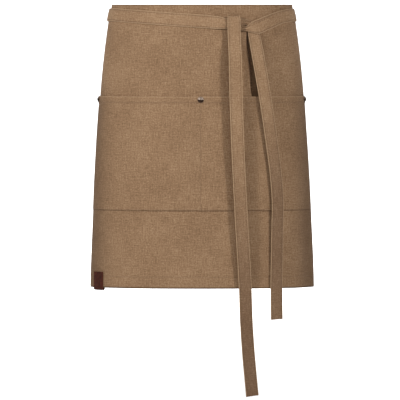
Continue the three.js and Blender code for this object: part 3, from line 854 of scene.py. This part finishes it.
def back_rows(route, side):
    """The part of a tie's route that goes round the back, from its sewn end."""
    sewn = math.degrees(turn_at(np.array(SIDE_EDGE - SEWN_LENGTH), np.array(0.0)))
    first = {**route[0], "turn": min(sewn, route[0]["turn"] - SEWN_TURN), "down": SEWN_DOWN}
    return [
        {
            "turn": side * math.radians(row["turn"]),
            "down": row["down"] * TIE_WIDTH,
            "out": CANVAS / 2 + row["lift"] * TIE_THICKNESS,
            "spin": 180 if side < 0 else 0,
            "width": TIE_WIDTH,
            "thick": TIE_THICKNESS,
        }
        for row in [first, *route]
    ]


def front_rows(rows, spin, laps, across_from, across_unit, down_from, down_unit):
    """A stretch of a tie's route in front, measured from a place in units of its own."""
    stand = GAP + POCKET_CANVAS + POCKET_HEM_FOLD + POCKET_SLACK
    found = []
    for row in rows:
        across = across_from + row["across"] * across_unit
        down = down_from + row["down"] * down_unit
        found.append(
            {
                "turn": laps + float(turn_across(across, down)),
                "down": down,
                "out": CANVAS / 2 + stand * row.get("over", 0) + row["lift"] * TIE_THICKNESS,
                "spin": row.get("spin", spin),
                "width": TIE_WIDTH * row.get("width", 1),
                "thick": TIE_THICKNESS * row.get("thick", 1),
            }
        )
    return found


def tie_rows(side, back, knot, over_pocket, foot, tail):
    """All rows of a tie, with the length run so far as their key."""
    laps = side * 2 * math.pi
    spin = 270 if side < 0 else 90
    half = WAIST_WIDTH / 2
    rows = [
        *back_rows(back, side),
        *front_rows(knot, spin, laps, KNOT_ACROSS, TIE_WIDTH, KNOT_DOWN, TIE_WIDTH),
        *front_rows(over_pocket, spin, laps, 0, half, POCKET_TOP, POCKET_HEIGHT),
        *front_rows(foot, spin, laps, 0, half, PANEL_LENGTH, tail),
    ]
    run = 0.0
    last = None
    for row in rows:
        point = skirt_point(row["turn"], row["down"], row["out"])
        run += 0 if last is None else float(np.linalg.norm(point - last))
        row["run"] = run
        last = point
    return rows


def tie_point(rows, run):
    turn, down, out = [read_table(rows, "run", column, run) for column in ("turn", "down", "out")]
    return skirt_point(turn, down, out)


def tie_ways(rows, run):
    """The width's way and the outward way of a tie at lengths along it."""
    end = rows[-1]["run"]
    ahead = tie_point(rows, np.minimum(end, run + PROBE))
    behind = tie_point(rows, np.maximum(0, run - PROBE))
    heading = unit(ahead - behind)
    turn = read_table(rows, "run", "turn", run)
    down = read_table(rows, "run", "down", run)
    along_x, along_y = section_along(turn, down)
    along = np.stack([along_x, along_y, np.zeros_like(along_x)], axis=-1)
    spin = np.radians(read_table(rows, "run", "spin", run))[..., None]
    above = skirt_point(turn, np.maximum(0, down - TIE_WIDTH / 2), 0)
    below = skirt_point(turn, down + TIE_WIDTH / 2, 0)
    width_way = unit(above - below) * np.cos(spin) + along * np.sin(spin)
    width_way = unit(width_way - np.sum(width_way * heading, axis=-1, keepdims=True) * heading)
    return width_way, np.cross(heading, width_way)


def tie_surface(rows, across, run):
    """A place on a tie's middle layer, pleated where the knot squeezes it, with a groove before that."""
    width_way, face = tie_ways(rows, run)
    width = read_table(rows, "run", "width", run)
    squeeze = np.clip(1 - width / TIE_WIDTH, 0, 1)
    share = across / TIE_WIDTH
    pleats = PLEAT_DEPTH * squeeze * np.cos(share * PLEATS * math.pi)
    crown = -CROWN_DROP * (2 * share) ** 2
    tightest = min(rows, key=lambda row: row["width"])["run"]
    across_groove = bell(share - GROOVE_ACROSS, GROOVE_SPREAD)
    groove = -GROOVE_DEPTH * across_groove * bell(run - tightest + GROOVE_BEFORE, GROOVE_LENGTH)
    point = tie_point(rows, run) + width_way * (share * width)[..., None]
    return point + face * (pleats + crown + groove)[..., None]


def canvas_tie(name, rows, material, node):
    columns = np.linspace(-TIE_WIDTH / 2, TIE_WIDTH / 2, TIE_LINES + 1)
    length = rows[-1]["run"]
    stops = np.linspace(0, length, round(length / TIE_STEP) + 1)
    tie, flat = new_sheet(name, columns, stops)
    shape_sheet(tie, tie_surface(rows, flat[:, 0], flat[:, 1]))
    add_wall(tie, TIE_THICKNESS, 0)
    dress(tie, material, "tie_canvas", node)


def tag_path():
    """The tag's path in section: down the front, round the hem's edge and up inside."""
    front_out = CANVAS / 2 + TAG_GAP + TAG_LEATHER / 2
    back_out = -CANVAS / 2 - HEM_FOLD - TAG_GAP - TAG_LEATHER / 2
    radius = (front_out - back_out) / 2
    middle_out = (front_out + back_out) / 2
    bend_down = PANEL_LENGTH + TAG_DROP - radius - TAG_LEATHER / 2
    top = PANEL_LENGTH + TAG_DROP - TAG_FRONT
    inner_top = PANEL_LENGTH + TAG_DROP - TAG_BACK
    path = [(down, front_out) for down in np.arange(top, bend_down, LEATHER_STEP)]
    for angle in np.linspace(0, math.pi, TAG_BENDS + 1):
        path.append((bend_down + radius * math.sin(angle), middle_out + radius * math.cos(angle)))
    path += [(down, back_out) for down in np.arange(bend_down - LEATHER_STEP, inner_top, -LEATHER_STEP)]
    return np.array(path)


def leather_tag(material):
    path = tag_path()
    steps = np.hypot(np.diff(path[:, 0]), np.diff(path[:, 1]))
    run = np.concatenate([[0], np.cumsum(steps)])
    columns = np.linspace(-TAG_WIDTH / 2, TAG_WIDTH / 2, TAG_LINES + 1)
    tag, flat = new_sheet("leather_label", columns, run[::-1])
    down = np.interp(flat[:, 1], run, path[:, 0])
    out = np.interp(flat[:, 1], run, path[:, 1])
    arc = flat[:, 0] + TAG_LEFT + TAG_WIDTH / 2
    level = np.minimum(down, PANEL_LENGTH)
    shape_sheet(tag, skirt_point(turn_at(arc, level), down, out + fold_depth(arc, level)))
    add_wall(tag, TAG_LEATHER, 0)
    dress(tag, material, "tag_leather", "leather_tag")


def turned_cap(name, material, node, arc):
    """A rivet cap: its rim circle is extruded inwards and up along the profile, and closed at the top."""
    bpy.ops.object.select_all(action="DESELECT")
    last_radius, last_height = RIVET_PROFILE[0]
    rim = last_radius * RIVET_RADIUS
    bpy.ops.mesh.primitive_circle_add(vertices=CAP_SIDES, radius=rim, fill_type="NOTHING")
    cap = bpy.context.object
    cap.name = name
    cap.data.name = name
    bpy.ops.object.mode_set(mode="EDIT")
    bpy.ops.mesh.select_all(action="SELECT")
    for radius, height in RIVET_PROFILE[1:]:
        rise = (height - last_height) * RIVET_RADIUS
        bpy.ops.mesh.extrude_region_move(TRANSFORM_OT_translate={"value": (0, 0, rise)})
        grow = radius / last_radius
        bpy.ops.transform.resize(value=(grow, grow, 1), center_override=(0, 0, height * RIVET_RADIUS))
        last_radius, last_height = radius, height
    bpy.ops.mesh.edge_face_add()
    bpy.ops.mesh.poke()
    bpy.ops.mesh.select_all(action="DESELECT")
    bpy.ops.mesh.select_non_manifold()
    bpy.ops.mesh.edge_face_add()
    bpy.ops.mesh.select_all(action="SELECT")
    bpy.ops.mesh.normals_make_consistent(inside=False)
    bpy.ops.object.mode_set(mode="OBJECT")
    place = np.array([arc])
    down = np.array([POCKET_TOP + RIVET_DROP])
    normal = surface_normal(pocket_middle, place, down)[0]
    seat = pocket_middle(place, down)[0] + normal * (POCKET_CANVAS / 2 + POCKET_HEM_FOLD + GAP)
    cap.rotation_mode = "QUATERNION"
    cap.rotation_quaternion = Vector((0, 0, 1)).rotation_difference(Vector(normal))
    cap.location = Vector(seat)
    bpy.ops.object.transform_apply(location=True, rotation=True, scale=True)
    bpy.ops.object.shade_smooth_by_angle(angle=math.radians(CAP_SMOOTH))
    dress(cap, material, "rivet_metal", node)


def one_stitch():
    """A single stitch, lying along X with its ends dipping into the cloth."""
    bpy.ops.object.select_all(action="DESELECT")
    bpy.ops.mesh.primitive_uv_sphere_add(segments=6, ring_count=4, radius=0.5)
    stitch = bpy.context.object
    bpy.ops.object.mode_set(mode="EDIT")
    bpy.ops.mesh.select_all(action="SELECT")
    bpy.ops.transform.rotate(value=math.pi / 2, orient_axis="Y", center_override=(0, 0, 0))
    bpy.ops.transform.resize(value=(STITCH_LENGTH, THREAD, THREAD), center_override=(0, 0, 0))
    bpy.ops.object.mode_set(mode="OBJECT")
    return stitch


def sewn_row(surface, start, end):
    """Stitches along a straight row on the flat cloth: the middle, the way along and the way out of each."""
    start = np.array(start)
    end = np.array(end)
    length = np.linalg.norm(end - start)
    count = int(length / STITCH_PITCH)
    shares = ((np.arange(count) + 0.5) / count)[:, None]
    places = start + (end - start) * shares
    step = (end - start) / length * STITCH_LENGTH / 2
    ahead = surface(*(places + step).T)
    behind = surface(*(places - step).T)
    along = unit(ahead - behind)
    out = surface_normal(surface, *places.T)
    return surface(*places.T), along, out


def sew(name, stitch, rows, material, slot):
    """One piece from copies of the stitch, laid along rows of places."""
    stitch_points = np.array([vertex.co[:] for vertex in stitch.data.vertices])
    stitch_faces = [tuple(face.vertices) for face in stitch.data.polygons]
    points = []
    faces = []
    chance = random.Random(name)
    for middles, alongs, outs in rows:
        for middle, along, out in zip(middles, alongs, outs):
            side = np.cross(out, along)
            tilt = along + side * chance.uniform(-STITCH_TILT, STITCH_TILT)
            first = len(points)
            size = chance.uniform(*STITCH_SIZES)
            x, y, z = stitch_points.T[:, :, None] * size
            points.extend(middle + x * tilt + y * side + z * out)
            faces.extend(tuple(first + corner for corner in face) for face in stitch_faces)
    mesh = bpy.data.meshes.new(name)
    mesh.from_pydata([tuple(point) for point in points], [], faces)
    seam = bpy.data.objects.new(name, mesh)
    bpy.context.scene.collection.objects.link(seam)
    for polygon in mesh.polygons:
        polygon.use_smooth = True
    dress(seam, material, slot)


def panel_outer(arc, down):
    return panel_middle(arc, down) + surface_normal(panel_middle, arc, down) * (CANVAS / 2 + THREAD_LIFT)


def pocket_face(arc, down):
    return pocket_outer(arc, down) + surface_normal(pocket_middle, arc, down) * THREAD_LIFT


def panel_seams(stitch, material):
    near = SIDE_EDGE - EDGE_INSET
    end = PANEL_LENGTH - EDGE_INSET
    rows = [
        sewn_row(panel_outer, (-near, HEAD_SEAM), (near, HEAD_SEAM)),
        sewn_row(panel_outer, (-near, FOOT_SEAM), (near, FOOT_SEAM)),
        sewn_row(panel_outer, (-SIDE_SEAM, EDGE_INSET), (-SIDE_SEAM, end)),
        sewn_row(panel_outer, (SIDE_SEAM, EDGE_INSET), (SIDE_SEAM, end)),
    ]
    sew("panel_stitches", stitch, rows, material, "panel_canvas")


def pocket_seams(stitch, material):
    left = POCKET_LEFT + EDGE_INSET
    right = POCKET_RIGHT - EDGE_INSET
    foot = POCKET_FOOT - EDGE_INSET
    rows = [
        sewn_row(pocket_face, (left, POCKET_SEAM), (right, POCKET_SEAM)),
        sewn_row(pocket_face, (left, foot), (right, foot)),
        sewn_row(pocket_face, (left, POCKET_TOP + EDGE_INSET), (left, foot)),
        sewn_row(pocket_face, (right, POCKET_TOP + EDGE_INSET), (right, foot)),
        sewn_row(pocket_face, (POCKET_ACROSS, POCKET_SEAM + STITCH_PITCH), (POCKET_ACROSS, foot)),
    ]
    sew("pocket_stitches", stitch, rows, material, "pocket_canvas")


def tie_seams(name, stitch, rows, material):
    def face(across, run):
        return tie_surface(rows, across, run) + tie_ways(rows, run)[1] * (TIE_THICKNESS / 2 + THREAD_LIFT)

    length = rows[-1]["run"]
    edge = TIE_WIDTH / 2 - EDGE_INSET
    sewn = []
    for across in (-edge, edge):
        count = int((length - 2 * EDGE_INSET) / STITCH_PITCH)
        runs = EDGE_INSET + (np.arange(count) + 0.5) / count * (length - 2 * EDGE_INSET)
        places = np.full(count, across)
        along = unit(face(places, runs + STITCH_LENGTH / 2) - face(places, runs - STITCH_LENGTH / 2))
        sewn.append((face(places, runs), along, tie_ways(rows, runs)[1]))
    sew(name, stitch, sewn, material, "tie_canvas")


def studio():
    """A pale floor that sweeps up into a backdrop, the soft lights and a faint even surround."""
    bpy.ops.object.select_all(action="DESELECT")
    bpy.ops.mesh.primitive_plane_add(size=SWEEP_SIZE, location=(0, 0, FLOOR))
    floor = bpy.context.object
    floor.name = "studio_sweep"
    bpy.ops.object.mode_set(mode="EDIT")
    bpy.ops.mesh.select_mode(type="EDGE")
    bpy.ops.mesh.select_all(action="DESELECT")
    bpy.ops.object.mode_set(mode="OBJECT")
    back = max(vertex.co.y for vertex in floor.data.vertices)
    for edge in floor.data.edges:
        edge.select = all(floor.data.vertices[corner].co.y > back - 0.01 for corner in edge.vertices)
    bpy.ops.object.mode_set(mode="EDIT")
    reach = 2 * SWEEP_RADIUS * math.sin(math.pi / 4 / SWEEP_BENDS)
    for bend in range(SWEEP_BENDS):
        angle = (bend + 0.5) * math.pi / 2 / SWEEP_BENDS
        step = (0, reach * math.cos(angle), reach * math.sin(angle))
        bpy.ops.mesh.extrude_region_move(TRANSFORM_OT_translate={"value": step})
    bpy.ops.mesh.extrude_region_move(TRANSFORM_OT_translate={"value": (0, 0, WALL_HEIGHT)})
    bpy.ops.object.mode_set(mode="OBJECT")
    bpy.ops.object.transform_apply(location=True, rotation=True, scale=True)
    bpy.ops.object.shade_smooth()
    floor.data.materials.append(studio_floor())
    world = bpy.context.scene.world or bpy.data.worlds.new("surround")
    bpy.context.scene.world = world
    world.use_nodes = True
    surround = world.node_tree.nodes["Background"]
    surround.inputs["Color"].default_value = (1, 1, 1, 1)
    surround.inputs["Strength"].default_value = SURROUND
    for light in LIGHTS:
        soft_light(**light)


def soft_light(name, place, size, power, target=APRON_MIDDLE):
    lamp = bpy.data.lights.new(name, "AREA")
    lamp.shape = "DISK"
    lamp.size = size
    lamp.energy = power
    light = bpy.data.objects.new(name, lamp)
    light.location = place
    light.rotation_mode = "QUATERNION"
    light.rotation_quaternion = (Vector(target) - Vector(place)).to_track_quat("-Z", "Y")
    bpy.context.scene.collection.objects.link(light)


def camera():
    lens = bpy.data.cameras.new("photo_camera")
    lens.lens = LENS
    lens.sensor_width = SENSOR
    lens.clip_end = FAR_END
    view = bpy.data.objects.new("photo_camera", lens)
    view.location = (CAMERA_ACROSS, -CAMERA_DISTANCE, 0)
    view.rotation_euler = (math.pi / 2 - math.atan(VIEW_DOWN / CAMERA_DISTANCE), 0, 0)
    bpy.context.scene.collection.objects.link(view)
    bpy.context.scene.camera = view


camera()
studio()

long_rows = tie_rows(-1, BACK_ROUTE, LONG_KNOT, LONG_OVER_POCKET, LONG_FOOT, LONG_TAIL)
short_rows = tie_rows(1, CROSSING_ROUTE, SHORT_KNOT, SHORT_OVER_POCKET, SHORT_FOOT, SHORT_TAIL)
long_end = long_rows[-1]["run"]
short_end = short_rows[-1]["run"]
tie_edge = TIE_WIDTH / 2

# Lines on the cloths: axis, place, half width and strength. The dark lines at the panel's top edge and hem
# edge and round the pocket's foot and sides are painted shade, the other dark lines are seams; the light edge
# lines are partly wear and partly painted highlight
panel_seam_and_shade_lines = [
    ("v", FOOT_SEAM, 0.0025, 0.1),
    ("v", HEAD_SEAM, 0.0025, 0.08),
    ("v", 0.0, 0.0022, 0.45),
    ("v", PANEL_LENGTH, 0.0035, 0.8),
    ("u", -SIDE_SEAM, 0.0025, 0.15),
    ("u", SIDE_SEAM, 0.0025, 0.15),
]
panel_lit_and_worn_edges = [("u", -SIDE_EDGE, 0.0014, 0.4), ("u", SIDE_EDGE, 0.0014, 0.4)]
pocket_seam_and_shade_lines = [
    ("v", POCKET_SEAM, 0.0022, 0.12),
    ("v", POCKET_FOOT - 0.0004, 0.0016, 0.4),
    ("u", POCKET_LEFT, 0.0025, 0.4),
    ("u", POCKET_RIGHT, 0.0025, 0.4),
    ("u", POCKET_ACROSS, 0.0022, 0.08),
]
pocket_lit_and_worn_edge = [("v", POCKET_TOP, 0.0022, 0.6)]
tie_sunk = [("u", -tie_edge + EDGE_INSET, 0.0015, 0.25), ("u", tie_edge - EDGE_INSET, 0.0015, 0.25)]
tie_lit_and_worn_edges = [("u", -tie_edge, 0.0014, 0.7), ("u", tie_edge, 0.0014, 0.7)]
canvas_tones = (CANVAS_TAN, CANVAS_SHADE, CANVAS_LIGHT)
tie_tones = (TIE_TAN, TIE_SHADE, TIE_LIGHT)
# Painted shade towards the ties' ends
long_end_shade = (*[long_end - before for before in LONG_DARKENS], LONG_END_SHADE_TINT)
short_end_shade = (*[short_end - before for before in SHORT_DARKENS], SHORT_END_SHADE_TINT)
# Painted shade towards the skirt's sides
painted_side_shade = (SIDE_SHADE_INNER, SIDE_SHADE_OUTER, POCKET_TOP - SIDE_SHADE_ABOVE, POCKET_TOP + SIDE_SHADE_BELOW, SIDE_SHADE_STRENGTH)
panel_cloth = canvas("panel_canvas", *canvas_tones, panel_seam_and_shade_lines, panel_lit_and_worn_edges, None, painted_side_shade)
pocket_cloth = canvas("pocket_canvas", *canvas_tones, pocket_seam_and_shade_lines, pocket_lit_and_worn_edge, None, painted_side_shade)
long_cloth = canvas("long_tie_canvas", *tie_tones, tie_sunk, tie_lit_and_worn_edges, long_end_shade)
short_cloth = canvas("short_tie_canvas", *tie_tones, tie_sunk, tie_lit_and_worn_edges, short_end_shade)
thread = sewing_thread()
metal = rivet_metal()

apron_panel(panel_cloth)
pocket_patch(pocket_cloth)
canvas_tie("canvas_tie_long", long_rows, long_cloth, "tie_long")
canvas_tie("canvas_tie_short", short_rows, short_cloth, "tie_short")
leather_tag(tag_leather())
rivet_arc = POCKET_WIDTH / 2 - RIVET_INSET
turned_cap("rivet_cap_left", metal, "rivet_left", POCKET_ACROSS - rivet_arc)
turned_cap("rivet_cap_center", metal, "rivet_center", POCKET_ACROSS)
turned_cap("rivet_cap_right", metal, "rivet_right", POCKET_ACROSS + rivet_arc)

stitch = one_stitch()
panel_seams(stitch, thread)
pocket_seams(stitch, thread)
tie_seams("long_tie_stitches", stitch, long_rows, thread)
tie_seams("short_tie_stitches", stitch, short_rows, thread)
bpy.data.objects.remove(stitch)

bpy.context.scene.view_settings.view_transform = "Standard"
